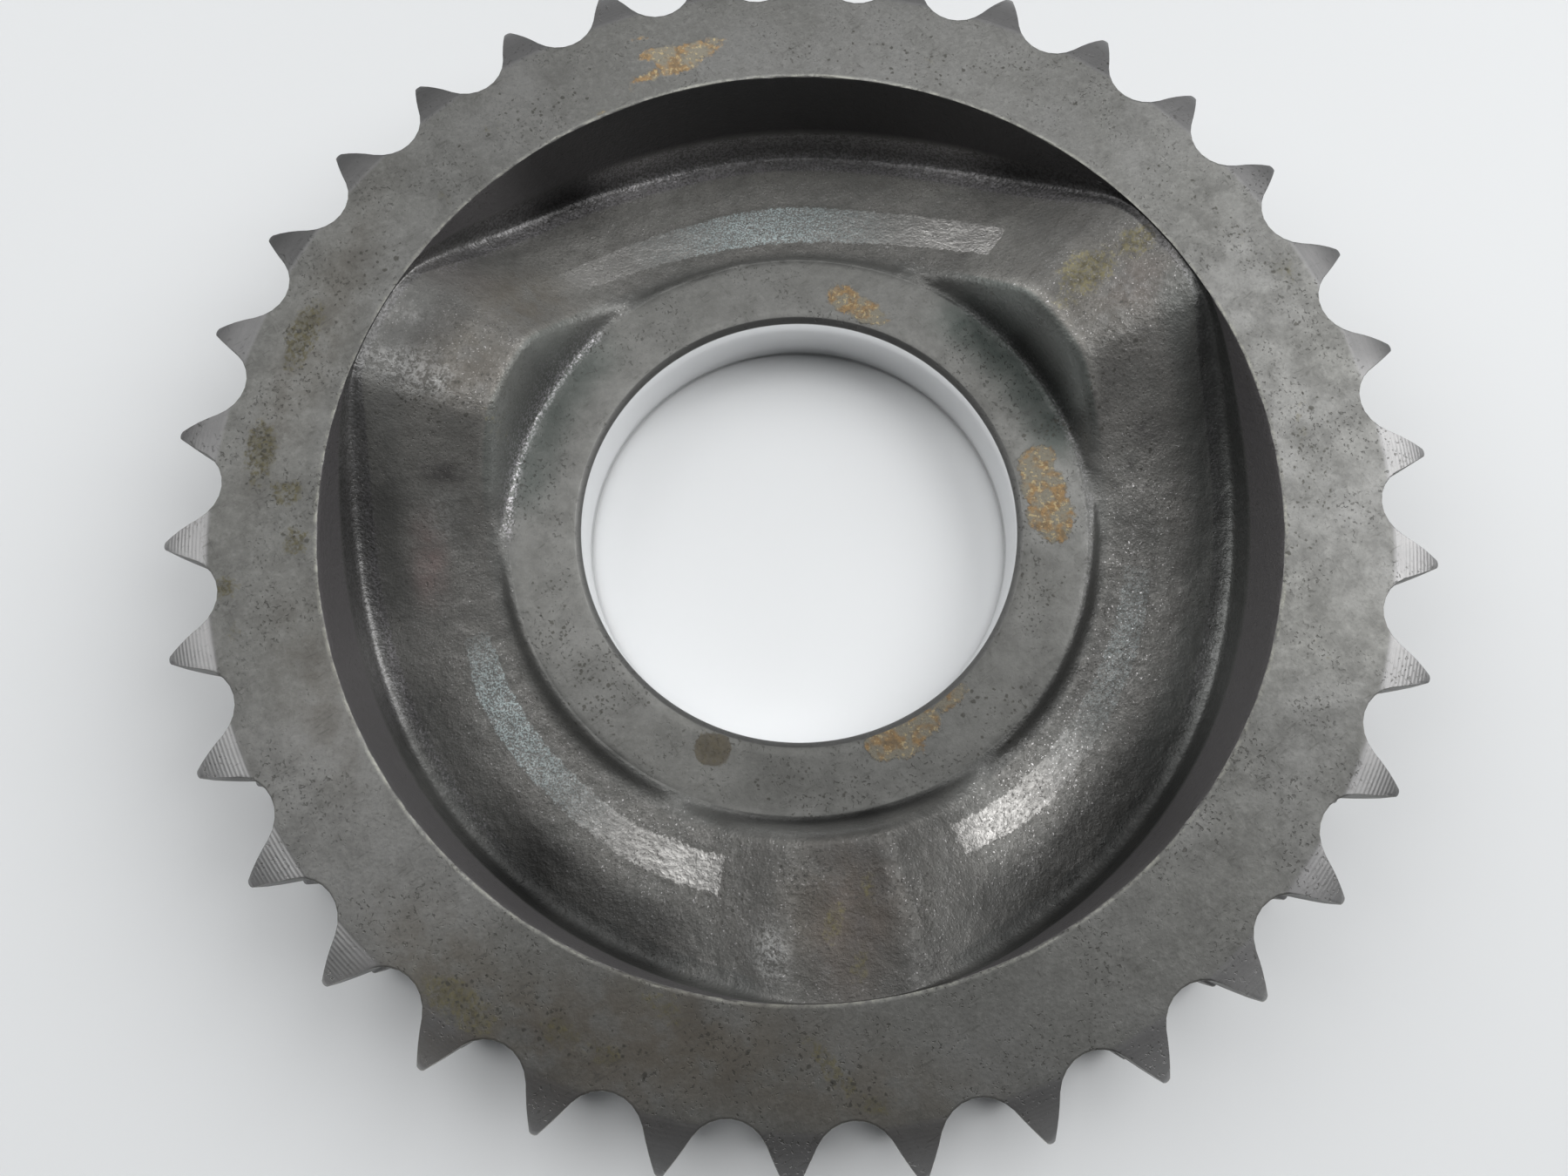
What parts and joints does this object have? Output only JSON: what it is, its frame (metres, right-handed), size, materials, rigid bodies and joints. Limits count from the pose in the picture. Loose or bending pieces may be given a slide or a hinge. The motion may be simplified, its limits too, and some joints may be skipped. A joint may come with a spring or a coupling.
{
  "type": "duplex chain sprocket with face cam",
  "caption": "Double-row roller chain sprocket with a plain bore and a cup holding a lobed face cam, for a shock-absorbing drive.",
  "frame": {"origin": "on the bore axis, in the plane of the flat back", "axes": "+Z along the bore axis, out of the cam side; +X through the middle of a tooth"},
  "size_m": [0.1068, 0.1064, 0.0154],
  "materials": {
    "forged_steel": "dark grey forged steel, machined rim, hub and teeth, rough as-forged cam with polished wear strips and light rust"
  },
  "bodies": {
    "root": {"sprocket_forging": "forged_steel"}
  },
  "joints": []
}
